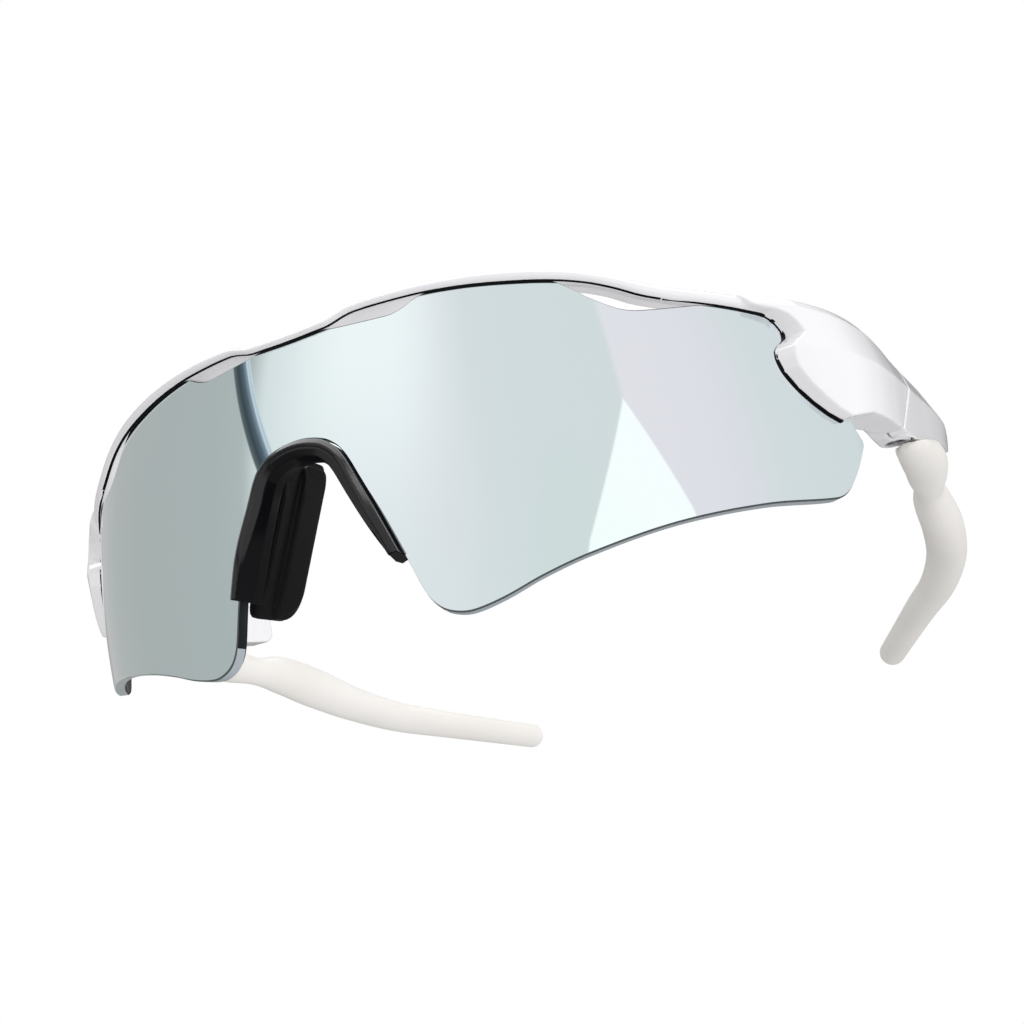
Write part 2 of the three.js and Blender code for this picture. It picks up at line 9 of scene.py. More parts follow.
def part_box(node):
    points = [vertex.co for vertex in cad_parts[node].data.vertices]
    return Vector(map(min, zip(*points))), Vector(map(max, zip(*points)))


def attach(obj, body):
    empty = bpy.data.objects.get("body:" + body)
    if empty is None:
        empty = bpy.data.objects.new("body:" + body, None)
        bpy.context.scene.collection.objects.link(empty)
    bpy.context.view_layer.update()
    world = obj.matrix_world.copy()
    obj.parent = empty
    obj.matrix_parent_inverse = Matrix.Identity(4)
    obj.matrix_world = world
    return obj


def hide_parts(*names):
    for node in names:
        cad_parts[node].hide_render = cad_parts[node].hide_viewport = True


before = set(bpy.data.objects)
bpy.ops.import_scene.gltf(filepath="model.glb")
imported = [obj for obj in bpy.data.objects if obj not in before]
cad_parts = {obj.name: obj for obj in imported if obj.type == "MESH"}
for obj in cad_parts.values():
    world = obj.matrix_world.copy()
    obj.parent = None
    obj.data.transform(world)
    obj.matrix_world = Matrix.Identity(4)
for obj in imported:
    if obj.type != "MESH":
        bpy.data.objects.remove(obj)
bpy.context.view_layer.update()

# ---------------------------------------------------------------- sizes, mm
MM = 0.001
LENS_RADIUS = 77.0
LENS_CROWN = 147.7
LENS_TILT = math.radians(2.53)
LENS_THICKNESS = 2.0
LENS_END = 63.7          # degrees round the head, as every angle on the lens
LENS_ROWS = 26
GAP = 0.35

BROW_FRONT = 1.15        # in front of the lens surface
BROW_REAR = -4.4         # behind it
BROW_END = 55.3

ARCH_END = 10.3
NOTCH_HALF_WIDTH = 15.5
PAD_HEIGHT = 24.0
PAD_DEPTH = 11.0

HINGE_X = 70.3
HINGE_Y = 62.0
KNUCKLE_RADIUS = 2.5
LOWER_KNUCKLE = (-4.9, -2.7)
TEMPLE_KNUCKLE = (-1.7, 0.7)
UPPER_KNUCKLE = (1.7, 3.8)

SIDE_SPAN = (40, 85)     # widths that hold an end piece or a temple block
SEAM_BOTTOM = (55.6, -4.8)
SEAM_TOP = (65.5, 9.0)
SEAM_GAP = 0.34

SLEEVE_START = 65.0
SLEEVE_TIP = 158.5
TIP_RADIUS = 2.7


# ------------------------------------------------------------ curve helpers
def through(points):
    """Smooth function through a few (x, y) points, flat at x = 0."""
    xs = np.array([p[0] for p in points], float)
    ys = np.array([p[1] for p in points], float)
    before = np.maximum(np.arange(len(xs)) - 1, 0)
    after = np.minimum(np.arange(len(xs)) + 1, len(xs) - 1)
    slopes = (ys[after] - ys[before]) / (xs[after] - xs[before])
    slopes[xs == 0] = 0

    def value(x):
        x = np.asarray(x, float)
        i = np.clip(np.searchsorted(xs, x, side="right") - 1, 0, len(xs) - 2)
        width = xs[i + 1] - xs[i]
        t = np.clip((x - xs[i]) / width, 0, 1)
        rise = ys[i + 1] - ys[i]
        a = slopes[i] * width - rise
        b = rise - slopes[i + 1] * width
        return ys[i] + rise * t + t * (1 - t) * (a * (1 - t) + b * t)

    return value


def straight(points):
    """Straight-line function through (x, y) points."""
    xs = [p[0] for p in points]
    ys = [p[1] for p in points]
    return lambda x: np.interp(x, xs, ys)


def curve_points(points, steps):
    """Catmull-Rom curve through the points."""
    p = np.asarray(points, float)
    p = np.concatenate([[2 * p[0] - p[1]], p, [2 * p[-1] - p[-2]]])
    out = []
    for i in range(1, len(p) - 2):
        t = np.linspace(0, 1, steps, endpoint=False)[:, None]
        a, b, c, d = p[i - 1 : i + 3]
        out.append(0.5 * (2 * b + (c - a) * t + (2 * a - 5 * b + 4 * c - d) * t**2
                          + (3 * b - a - 3 * c + d) * t**3))
    return np.concatenate([*out, [p[-2]]])


def unit(v):
    return v / np.linalg.norm(v, axis=-1, keepdims=True)


# ------------------------------------------------------------- lens surface
def lens_point(angle, height, ahead):
    """Point of the lens surface: degrees round the head, height, distance in front."""
    angle, height, ahead = np.broadcast_arrays(*(np.asarray(v, float) for v in (angle, height, ahead)))
    radius = LENS_RADIUS + np.sqrt(LENS_CROWN**2 - height**2) - LENS_CROWN + ahead
    x = radius * np.sin(np.radians(angle))
    y = LENS_RADIUS - radius * np.cos(np.radians(angle))
    c, s = math.cos(LENS_TILT), math.sin(LENS_TILT)
    return np.stack([x, y * c + height * s, height * c - y * s], axis=-1)


lens_bottom = through([
    (0, 2.5), (3.1, 1.7), (4.8, 0.1), (5.8, -1.9), (6.9, -5.3), (8.4, -10.2),
    (10.4, -17.4), (11.9, -22.9), (13, -25), (14.5, -26.1), (16.5, -26.4), (19.9, -25.4),
    (24.1, -23.4), (28.9, -21.5), (38.5, -18.6), (48.9, -16.7), (58.2, -15.7),
    (60.2, -14.5), (62, -11.6), (LENS_END, -7.6),
])
lens_top = through([
    (0, 18.5), (4, 18.6), (5.5, 18.25), (8, 18), (11, 17.85), (12.2, 17.9), (13.6, 18.5),
    (15, 19.5), (16.5, 20.15), (20, 20), (25, 19.45), (29.5, 18.75), (30.6, 17.95), (32.2, 16.5),
    (33.2, 15.4), (35.9, 13.4), (37.6, 12.8), (40, 12.8), (43, 13.1), (45.7, 13.4), (50, 13.1),
    (52.3, 12.5), (53.8, 11.8), (55.3, 9.8), (57.5, 5.5), (60, 0.8), (62, -3), (LENS_END, -6.4),
])
brow_crest = through([
    (0, 19.3), (5, 19.7), (8, 20.9), (20, 21.4), (29, 20.5), (35.5, 18.6), (41, 16.4),
    (48.5, 15.2), (BROW_END, 14.5),
])
brow_fold = through([
    (0, 18.25), (4.5, 18.5), (5.4, 18.7), (6.9, 19.35), (8.2, 19.7), (12.5, 19.9), (16.2, 19.95),
    (20.6, 19.7), (25.2, 19.15), (29.8, 18.45), (33.4, 17.5), (36.2, 16.3), (38.9, 14.9),
    (41.8, 14.05), (44.9, 13.6), (48.1, 13.1), (51.3, 12.5), (53.4, 12), (54.6, 10.8),
    (BROW_END, 9),
])
brow_throat = through([
    (0, 18.35), (4.5, 18.6), (5.5, 18.3), (8, 17.9), (11, 17.7), (12.2, 17.75), (13.6, 18.3),
    (15, 19.3), (16.5, 20), (20.6, 19.8), (25.2, 19.25), (29.8, 18.6), (31.5, 18.4), (33.4, 18),
    (36.2, 17), (38.9, 15.6), (41.8, 14.75), (44.9, 14), (48.1, 13.2), (51.3, 12.6), (53.4, 12.1),
    (BROW_END, 9.1),
])

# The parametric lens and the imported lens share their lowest, front-most corner.
_angles = np.linspace(-LENS_END, LENS_END, 400)
_low = lens_point(_angles, lens_bottom(abs(_angles)), -LENS_THICKNESS)[:, 2].min()
_front = lens_point(0, np.linspace(2.5, 18, 60), 0)[:, 1].min()
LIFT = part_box("shield_lens")[0].z / MM - _low
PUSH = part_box("shield_lens")[0].y / MM - _front
SHIFT = np.array([0.0, PUSH, LIFT])


# ------------------------------------------------------------- mesh helpers
def make(name, points, faces):
    """Object from points in mm, moved by SHIFT."""
    mesh = bpy.data.meshes.new(name)
    mesh.from_pydata((np.asarray(points) + SHIFT) * MM, [], faces)
    mesh.validate()
    piece = bpy.data.objects.new(name, mesh)
    bpy.context.scene.collection.objects.link(piece)
    return piece


def ring_faces(rings, count):
    """Quads between neighbouring rings of points, and a cap at each end."""
    r, p = np.meshgrid(np.arange(rings - 1), np.arange(count), indexing="ij")
    a = (r * count + p).ravel()
    b = (r * count + (p + 1) % count).ravel()
    faces = np.stack([a, b, b + count, a + count], axis=1).tolist()
    faces.append(list(range(count))[::-1])
    faces.append([(rings - 1) * count + i for i in range(count)])
    return faces


def loft(name, rings):
    rings = np.asarray(rings, float)
    piece = make(name, rings.reshape(-1, 3), ring_faces(len(rings), rings.shape[1]))
    recalc(piece)
    return piece


def recalc(piece):
    """Turns the faces outward."""
    bm = bmesh.new()
    bm.from_mesh(piece.data)
    bmesh.ops.recalc_face_normals(bm, faces=bm.faces)
    bm.to_mesh(piece.data)
    bm.free()


def extrude(name, outline, low, high, axis):
    """Flat outline pushed between two values of one axis (0 is x, 2 is z)."""
    outline = np.asarray(outline, float)
    ends = []
    for value in (low, high):
        ends.append(np.insert(outline, axis, value, axis=1))
    return loft(name, ends)


def post(name, radius, span):
    """Upright cylinder round the hinge axis."""
    a = np.linspace(0, 2 * math.pi, 64, endpoint=False)
    outline = np.stack([HINGE_X + radius * np.cos(a), HINGE_Y + radius * np.sin(a)], axis=1)
    return extrude(name, outline, span[0], span[1], 2)


def bake(piece):
    """Applies the modifiers and keeps only the mesh they give."""
    bpy.context.view_layer.update()
    graph = bpy.context.evaluated_depsgraph_get()
    mesh = bpy.data.meshes.new_from_object(piece.evaluated_get(graph), depsgraph=graph)
    old = piece.data
    piece.modifiers.clear()
    piece.data = mesh
    bpy.data.meshes.remove(old)


def boolean(piece, tools, operation="DIFFERENCE"):
    """Cuts the tools from the piece, or keeps only what is inside them."""
    for tool in tools:
        modifier = piece.modifiers.new("boolean", "BOOLEAN")
        modifier.operation = operation
        modifier.solver = "EXACT"
        modifier.object = tool
        bake(piece)


def drop(*pieces):
    for piece in pieces:
        bpy.data.objects.remove(piece)


def joined(name, parts):
    """One mesh holding all the parts' vertices and faces."""
    bm = bmesh.new()
    for part in parts:
        bm.from_mesh(part.data)
    mesh = bpy.data.meshes.new(name)
    bm.to_mesh(mesh)
    bm.free()
    drop(*parts)
    piece = bpy.data.objects.new(name, mesh)
    bpy.context.scene.collection.objects.link(piece)
    return piece


def mould(piece, voxel, rounds):
    """Melts overlapping parts into one skin with softly rounded edges."""
    remesh = piece.modifiers.new("remesh", "REMESH")
    remesh.mode = "VOXEL"
    remesh.voxel_size = voxel * MM
    smooth = piece.modifiers.new("smooth", "SMOOTH")
    smooth.factor = 0.5
    smooth.iterations = rounds
    bake(piece)
    piece.data.shade_smooth()
    return piece


def mirror_copy(piece, name):
    """The same piece on the other side of the glasses."""
    mesh = piece.data.copy()
    mesh.transform(Matrix.Scale(-1, 4, (1, 0, 0)))
    mesh.flip_normals()
    other = bpy.data.objects.new(name, mesh)
    bpy.context.scene.collection.objects.link(other)
    return other


# ---------------------------------------------------------------- materials
def material(name):
    m = bpy.data.materials.new(name)
    m.use_nodes = True
    nodes, links = m.node_tree.nodes, m.node_tree.links
    shader = nodes["Principled BSDF"]
    place = nodes.new("ShaderNodeTexCoord")
    return m, nodes, links, shader, place.outputs["Object"]


def noise(nodes, links, place, scale, detail=3.0):
    n = nodes.new("ShaderNodeTexNoise")
    n.inputs["Scale"].default_value = scale
    n.inputs["Detail"].default_value = detail
    links.new(place, n.inputs["Vector"])
    return n.outputs["Fac"]


def ramp(nodes, links, value, stops):
    r = nodes.new("ShaderNodeValToRGB")
    while len(r.color_ramp.elements) < len(stops):
        r.color_ramp.elements.new(0.5)
    for element, (position, color) in zip(r.color_ramp.elements, stops):
        element.position = position
        element.color = (*color, 1)
    links.new(value, r.inputs["Fac"])
    return r.outputs["Color"]


def maths(nodes, links, operation, *values):
    n = nodes.new("ShaderNodeMath")
    n.operation = operation
    for socket, value in zip(n.inputs, values):
        if isinstance(value, (int, float)):
            socket.default_value = value
        else:
            links.new(value, socket)
    return n.outputs["Value"]


def blended(nodes, links, share, first, second):
    """The first colour where share is 0, the second where it is 1."""
    n = nodes.new("ShaderNodeMix")
    n.data_type = "RGBA"
    links.new(share, n.inputs["Factor"])
    for socket, value in [(n.inputs["A"], first), (n.inputs["B"], second)]:
        if isinstance(value, tuple):
            socket.default_value = (*value, 1)
        else:
            links.new(value, socket)
    return n.outputs["Result"]


def bump(nodes, links, height, strength, distance):
    b = nodes.new("ShaderNodeBump")
    b.inputs["Strength"].default_value = strength
    b.inputs["Distance"].default_value = distance
    links.new(height, b.inputs["Height"])
    return b.outputs["Normal"]


def spread_roughness(nodes, links, value, low, high):
    r = nodes.new("ShaderNodeMapRange")
    r.inputs["To Min"].default_value = low
    r.inputs["To Max"].default_value = high
    links.new(value, r.inputs["Value"])
    return r.outputs["Result"]


def moulded(name, light, dark, rough, coat=0.0, grain=1400, grain_depth=0.00002, strength=0.15,
            specular=0.5):
    """Moulded plastic or rubber: faint colour drift, fine skin texture."""
    m, nodes, links, shader, place = material(name)
    drift = noise(nodes, links, place, 45)
    links.new(ramp(nodes, links, drift, [(0.35, dark), (0.65, light)]), shader.inputs["Base Color"])
    fine = noise(nodes, links, place, grain, 2)
    links.new(spread_roughness(nodes, links, drift, rough[0], rough[1]), shader.inputs["Roughness"])
    links.new(bump(nodes, links, fine, strength, grain_depth), shader.inputs["Normal"])
    shader.inputs["Coat Weight"].default_value = coat
    shader.inputs["Coat Roughness"].default_value = 0.08
    shader.inputs["Specular IOR Level"].default_value = specular
    return m


white_plastic = moulded(
    "white_gloss_nylon", (0.9, 0.9, 0.91), (0.87, 0.87, 0.885), (0.16, 0.24), coat=0.5,
)
cream_rubber = moulded(
    "cream_rubber", (0.84, 0.82, 0.78), (0.8, 0.78, 0.735), (0.42, 0.52),
    grain=2600, grain_depth=0.00004, strength=0.25,
)
black_plastic = moulded(
    "black_gloss_plastic", (0.005, 0.005, 0.006), (0.003, 0.003, 0.004), (0.1, 0.16),
)
black_rubber = moulded(
    "black_rubber", (0.008, 0.008, 0.009), (0.004, 0.004, 0.005), (0.24, 0.34),
    grain=2200, grain_depth=0.00003, strength=0.2, specular=0.25,
)
# black of the lens gaskets, also used as painted shade: the strips stand in for the dark shadow gap
# between the frame's lip and the lens
gasket_and_gap_shade_rubber = moulded(
    "black_gasket_and_painted_gap_shade", (0.004, 0.004, 0.005), (0.002, 0.002, 0.002), (0.45, 0.6), specular=0.15,
)


def metal(name, light, dark, rough):
    """Metal with fine noise in its colour and roughness."""
    m, nodes, links, shader, place = material(name)
    turn = noise(nodes, links, place, 900, 4)
    links.new(ramp(nodes, links, turn, [(0.3, dark), (0.7, light)]), shader.inputs["Base Color"])
    links.new(spread_roughness(nodes, links, turn, rough[0], rough[1]), shader.inputs["Roughness"])
    shader.inputs["Metallic"].default_value = 1
    return m


steel = metal("hinge_steel", (0.66, 0.67, 0.69), (0.5, 0.51, 0.53), (0.22, 0.34))
brass = metal("hinge_brass", (0.72, 0.57, 0.3), (0.58, 0.44, 0.2), (0.25, 0.36))
nylon = moulded("washer_nylon", (0.86, 0.85, 0.8), (0.8, 0.79, 0.73), (0.35, 0.45))


def mirror_material():
    """Silver mirror coat where the face attribute bare is 0, smoked plastic where it is 1.

    Bare faces with the attribute pale, on the bottom edge, get a light grey that is painted light on
    that edge.
    """
    m, nodes, links, shader, place = material("silver_mirror_coat")
    drift = noise(nodes, links, place, 22, 1)
    haze = noise(nodes, links, place, 60, 2)
    bare, pale = (nodes.new("ShaderNodeAttribute") for _ in range(2))
    bare.attribute_name = "bare"
    pale.attribute_name = "pale"
    tint = ramp(nodes, links, drift, [(0.35, (0.805, 0.93, 0.93)), (0.65, (0.835, 0.93, 0.95))])
    smoke = ramp(nodes, links, haze, [(0.3, (0.012, 0.015, 0.017)), (0.7, (0.02, 0.024, 0.026))])
    # painted light: light grey for the lens's bottom edge, as if lit from below
    lit_edge_paint = ramp(nodes, links, haze, [(0.3, (0.4, 0.45, 0.48)), (0.7, (0.46, 0.51, 0.54))])
    uncoated = blended(nodes, links, pale.outputs["Fac"], smoke, lit_edge_paint)
    color = blended(nodes, links, bare.outputs["Fac"], tint, uncoated)
    coated = maths(nodes, links, "SUBTRACT", 1, bare.outputs["Fac"])
    links.new(color, shader.inputs["Base Color"])
    links.new(coated, shader.inputs["Metallic"])
    links.new(spread_roughness(nodes, links, haze, 0.02, 0.035), shader.inputs["Roughness"])
    return m


mirror = mirror_material()


# --------------------------------------------------------------------- lens
def sheet_rings(angles, lower, upper, sections, rows):
    """Rings round a curved sheet: (ahead, inset) sections from front to rear."""
    size = abs(angles)
    low, high = lower(size), upper(size)
    share = np.linspace(0, 1, rows + 1)
    rings = []
    for angle, a, b in zip(angles, low, high):
        (front, inset), *sides = sections
        heights = a + inset + (b - a - 2 * inset) * share
        ring = [lens_point(angle, heights, front)]
        *middle, (rear, rear_inset) = sides
        for ahead, edge in middle:
            ring.append(lens_point(angle, [b - edge], ahead))
        heights = a + rear_inset + (b - a - 2 * rear_inset) * share
        ring.append(lens_point(angle, heights[::-1], rear))
        for ahead, edge in reversed(middle):
            ring.append(lens_point(angle, [a + edge], ahead))
        rings.append(np.concatenate(ring))
    return np.array(rings)


def both_sides(angles):
    return np.concatenate([-angles[:0:-1], angles])


lens_angles = both_sides(np.concatenate([
    np.arange(0, 17, 0.15), np.arange(17, 57, 0.4), np.linspace(57, LENS_END, 46),
]))
lens_sections = [(0, 0.22), (-0.22, 0), (-LENS_THICKNESS + 0.3, 0), (-LENS_THICKNESS, 0.3)]
lens = loft("shield_lens_fine", sheet_rings(
    lens_angles, lens_bottom, lens_top, lens_sections, LENS_ROWS,
))
lens.data.materials.append(mirror)
lens.data.shade_smooth()
lens.data.set_sharp_from_angle(angle=math.radians(35))
# soft light passes through the lens
lens.visible_shadow = False
lens.visible_diffuse = False

# Each ring holds the front face from bottom to top, two points of the top edge, the
# rear face from top to bottom, and two points of the bottom edge.
lens_ring = 2 * (LENS_ROWS + 1) + 4
front_places = {*range(LENS_ROWS + 1), lens_ring - 1}
bottom_edge = {lens_ring - 1, lens_ring - 2}


def mark_lens(name, wanted):
    """Gives the value 1 to the faces for which wanted(places in the ring, centre) holds."""
    layer = lens.data.attributes.new(name, "FLOAT", "FACE")
    for polygon in lens.data.polygons:
        places = {v % lens_ring for v in polygon.vertices}
        layer.data[polygon.index].value = float(wanted(places, polygon.center))


mark_lens("bare", lambda places, _: len(places) != 2 or not places <= front_places)
# pale: the bottom edge outside the notch, painted light grey as if lit from below
mark_lens("pale", lambda places, centre: (
    places == bottom_edge and abs(centre.x) > NOTCH_HALF_WIDTH * MM
))

groove_angles = both_sides(np.concatenate([
    np.arange(0, 17, 0.5), np.arange(17, 57, 1), np.linspace(57, LENS_END + 0.3, 12),
]))
groove = loft("groove", sheet_rings(
    groove_angles, lambda a: lens_bottom(a) - 0.2, lambda a: lens_top(a) + 0.2,
    [(0.2, 0), (-LENS_THICKNESS - 0.2, 0)], 14,
))


# -------------------------------------------------------------- front frame
def brow_ring(angle):
    """Section of the brow: rounded bar over the lens edge, and the wall behind the lens."""
    crest = float(brow_crest(abs(angle)))
    fold = float(brow_fold(abs(angle)))
    rear = float(brow_throat(abs(angle)))
    rise = crest - fold
    shape = [
        (0.5, fold), (0.8, fold + 0.06 * rise), (1, fold + 0.2 * rise), (1.12, fold + 0.36 * rise),
        (BROW_FRONT, fold + 0.52 * rise), (1.05, fold + 0.68 * rise), (0.75, fold + 0.83 * rise),
        (0.1, fold + 0.95 * rise), (-1, crest), (-3.1, crest - 0.2),
        (BROW_REAR, max(crest - 1, rear + 0.6)), (BROW_REAR, rear + 0.4), (BROW_REAR + 0.5, rear),
        (-2.1, rear), (-1.6, 0.25 * fold + 0.75 * rear), (-1, 0.7 * fold + 0.3 * rear),
        (-0.3, 0.95 * fold + 0.05 * rear), (0.1, fold),
    ]
    ahead, height = np.array(shape).T
    return lens_point(angle, height, ahead)


brow = loft("brow", [brow_ring(a) for a in np.linspace(-BROW_END, BROW_END, 440)])

ridge_x = through([
    (27, 61), (30.5, 64.2), (34, 67.3), (40, 71), (46, 73), (52, 73.9), (58, 74.3), (66, 74.8),
    (76, 75.3), (85, 75.3), (94, 74.2),
])
inner_x = straight([
    (27, 52.5), (34, 58.5), (40, 62.5), (46, 65.6), (52, 68.2), (57, HINGE_X),
    (68, HINGE_X), (76, 69.6), (94, 69.6),
])
ridge_z = straight([(27, 5), (50, 3), (66, 2.6), (94, 2.2)])
top_z = through([
    (27, 13.6), (34, 12.6), (42, 11.2), (50, 9.9), (60, 8.3), (75, 7.2), (88, 5.9), (94, 4.4),
])


def band_ring(y):
    """Section of end piece and temple block: a ridge outside, a flat face inside."""
    ridge, inner, middle, top = (float(f(y)) for f in (ridge_x, inner_x, ridge_z, top_z))
    return [
        (inner, y, -8), (ridge - 1.5, y, -8), (ridge, y, middle), (ridge - 1.3, y, top - 1.4),
        (ridge - 2.2, y, top), (inner + 0.5, y, top), (inner, y, top - 0.5),
    ]


def band(name, start, end, count):
    return loft(name, [band_ring(y) for y in np.linspace(start, end, count)])


def on_lens(angle, height):
    """Distance back and height of a point just in front of the lens."""
    return tuple(lens_point(angle, height, 0.5)[1:])


end_outline = [
    on_lens(50.3, 12.8), on_lens(53, 12.2), on_lens(54.3, 11.2), on_lens(55, 9.8),
    on_lens(55.4, 8.5), on_lens(54.7, 7.8), on_lens(54.1, 7.2), on_lens(53.5, 6.2),
    on_lens(53.5, 4.9), on_lens(54, 2.9), on_lens(55.4, 0.5), on_lens(57.1, -1.4),
    on_lens(58.9, -2.9), on_lens(60.6, -3.8), (44, -4.4), (50, -4.6),
    (SEAM_BOTTOM[0] - SEAM_GAP / 2, SEAM_BOTTOM[1]),
    (SEAM_TOP[0] - SEAM_GAP / 2, SEAM_TOP[1]), (SEAM_TOP[0] - 6, 16), (26, 16),
]
end_piece = band("end_piece", 27.5, 66.5, 80)
end_cutter = extrude("end_cutter", end_outline, *SIDE_SPAN, 0)
boolean(end_piece, [end_cutter], "INTERSECT")

web_inside = HINGE_X - KNUCKLE_RADIUS
web_outside = HINGE_X - 0.1
upper_web = extrude("upper_web", [
    (50, UPPER_KNUCKLE[0]), (HINGE_Y, UPPER_KNUCKLE[0]), (HINGE_Y, UPPER_KNUCKLE[1]),
    (50, UPPER_KNUCKLE[1] + 1.5),
], web_inside, web_outside, 0)
lower_web = extrude("lower_web", [
    (49, 0), (49, -4.4), (57.5, LOWER_KNUCKLE[0]), (HINGE_Y, LOWER_KNUCKLE[0]),
    (HINGE_Y, LOWER_KNUCKLE[1]), (58, LOWER_KNUCKLE[1]), (55.5, 0),
], web_inside, web_outside, 0)
upper_post = post("upper_post", KNUCKLE_RADIUS, UPPER_KNUCKLE)
lower_post = post("lower_post", KNUCKLE_RADIUS, LOWER_KNUCKLE)
left_end = joined("left_end", [end_piece, upper_web, lower_web, upper_post, lower_post])
right_end = mirror_copy(left_end, "right_end")
front = mould(joined("front_frame_fine", [brow, left_end, right_end]), 0.2, 3)

knuckle_room = post("knuckle_room", KNUCKLE_RADIUS + 0.25, (LOWER_KNUCKLE[1], UPPER_KNUCKLE[0]))
screw_room = post("screw_room", 1.65, (LOWER_KNUCKLE[0] - 1, LOWER_KNUCKLE[0] + 1.4))
rooms = [knuckle_room, screw_room]
rooms += [mirror_copy(room, room.name + "_right") for room in rooms]
boolean(front, [groove, *rooms])
front.data.shade_smooth()
front.data.set_sharp_from_angle(angle=math.radians(50))
front.data.materials.append(white_plastic)
drop(groove, *rooms, end_cutter)


# ------------------------------------------------------------- lens gaskets and painted shade of the gap
def strip(name, path, width, front_edge):
    """Soft black wedge between the lens and the frame, below a path (angle, height) on the lens; its
    black is partly a rubber gasket and partly painted shade of the shadow gap.
    """
    path = np.asarray(path, float)
    flat = path * (math.radians(LENS_RADIUS), 1)
    along = unit(np.gradient(flat, axis=0))
    across = np.stack([-along[:, 1] / math.radians(LENS_RADIUS), along[:, 0]], axis=1)
    width = np.broadcast_to(width, len(path))[:, None]
    shape = [
        (0.2, 0.05), (0.2, front_edge), (0.02, front_edge), (-0.3 * width, 0.8 * front_edge),
        (-0.8 * width, 0.4 * front_edge), (-width, 0.05),
    ]
    rings = []
    for side, ahead in shape:
        edge = path + across * side
        rings.append(lens_point(edge[:, 0], edge[:, 1], ahead))
    piece = loft(name, np.stack(rings, axis=1))
    piece.data.materials.append(gasket_and_gap_shade_rubber)
    piece.data.shade_smooth()
    piece.data.set_sharp_from_angle(angle=math.radians(50))
    return piece


# The black strips along the brow and the side of the frame are partly gasket and partly painted shade
# of the shadow gap between frame and lens.
strip_angles = np.linspace(-41, 41, 360)
strip_path = np.stack([strip_angles, brow_fold(abs(strip_angles))], axis=1)
brow_strip = strip("brow_gasket_and_gap_shade_fine", strip_path, 0.08, 0.5)
side_path = curve_points([
    (41.2, 14.2), (44.9, 13.6), (48.1, 13.1), (51.3, 12.5), (53.2, 12), (54.4, 10.9), (55, 9.6),
    (54.9, 8.3), (54.1, 7.3), (53.5, 6.1), (53.5, 4.6), (54.1, 2.6), (55.5, 0.3), (57.2, -1.6),
    (59, -3.1), (60.8, -4.1),
], 14)
side_width = np.interp(
    side_path[:, 1], [-4.1, -3, 0, 4, 6.2, 7.4, 8.4, 9.6], [0.08, 0.2, 0.26, 0.22, 0.15, 0, 0, 0.12],
)
left_strip = strip("left_side_gasket_and_gap_shade_fine", side_path, side_width, 0.4)
right_strip = mirror_copy(left_strip, "right_side_gasket_and_gap_shade_fine")

# ---------------------------------------------------------------- nosepiece
arch_angles = np.linspace(-ARCH_END, ARCH_END, 200)
arch_path = np.stack([arch_angles, lens_bottom(abs(arch_angles))], axis=1)


def nose_arch():
    """Black arch along the notch, with legs that swell forward."""
    flat = arch_path * (math.radians(LENS_RADIUS), 1)
    along = unit(np.gradient(flat, axis=0))
    width = 2.7 - 1.2 * (abs(arch_angles) / ARCH_END) ** 6
    share = np.clip((abs(arch_angles) - 6) / 3.2, 0, 1)
    swell = share * share * (3 - 2 * share)
    rings = []
    shape = [
        (0.2, 0.9 + swell), (0.9, 1.35 + swell), (1.6, 1.25 + swell), (None, 0.8 + swell),
        (None, -1), (None, -3), (0.2, -3),
    ]
    extra = [0, 0, 0, 0, 0.3, 0, 0]
    for (inward, ahead), more in zip(shape, extra):
        distance = (width if inward is None else np.full_like(width, inward)) + more
        angle = arch_path[:, 0] + along[:, 1] * distance / math.radians(LENS_RADIUS)
        height = arch_path[:, 1] - along[:, 0] * distance
        rings.append(lens_point(angle, height, ahead))
    piece = loft("nose_bridge_fine", np.stack(rings, axis=1))
    piece.data.materials.append(black_plastic)
    return mould(piece, 0.12, 3)


arch = nose_arch()

pad_top_front = np.array([6.0, 4.8, 3.6])
pad_bottom_front = np.array([15.4, 5.6, -17.6])
pad_top_rear = np.array([6.0, 15.8, 5.0])


def rounded_plate(left, right, top, bottom, radius, small):
    """Outline with one radius at the lower rear corner and a small one at the others."""
    corners = [
        (right - small, top + small, small, -90), (right - radius, bottom - radius, radius, 0),
        (left + small, bottom - small, small, 90), (left + small, top + small, small, 180),
    ]
    points = []
    for cx, cy, r, start in corners:
        for a in np.radians(np.linspace(start, start + 90, 14)):
            points.append((cx + r * math.cos(a), cy + r * math.sin(a)))
    return np.array(points)


def nose_pad(name):
    """Plate with a raised rubber cushion and a narrow rib on its inner side."""
    down = unit(pad_bottom_front - pad_top_front)
    back = pad_top_rear - pad_top_front
    back = unit(back - back.dot(down) * down)
    sideways = np.cross(back, down)

    def slab(part, outline, levels):
        middle = (outline.min(axis=0) + outline.max(axis=0)) / 2
        half = np.ptp(outline, axis=0).min() / 2
        rings = []
        for depth, shrink in levels:
            flat = middle + (outline - middle) * (1 - shrink / half)
            rings.append(pad_top_front + flat[:, :1] * back + flat[:, 1:] * down + depth * sideways)
        return loft(part, rings)

    plate = slab("plate", rounded_plate(0, PAD_DEPTH, 0, PAD_HEIGHT, 4.2, 1.4),
                 [(0, 0.9), (0.12, 0.35), (0.5, 0), (1.5, 0), (1.75, 0.3), (1.8, 0.8)])
    cushion = slab("cushion", rounded_plate(4.1, PAD_DEPTH, 0.5, PAD_HEIGHT, 4, 1.4),
                   [(1.2, 0), (2.1, 0.1), (2.5, 0.5), (2.6, 1.1)])
    rib = slab("rib", rounded_plate(0.1, 2.2, 2.4, PAD_HEIGHT - 1.5, 0.9, 0.9),
               [(1.2, 0), (2.1, 0.1), (2.35, 0.4)])
    piece = mould(joined(name, [plate, cushion, rib]), 0.13, 3)
    piece.data.materials.append(black_rubber)
    return piece


left_pad = nose_pad("left_nose_pad_fine")
right_pad = mirror_copy(left_pad, "right_nose_pad_fine")

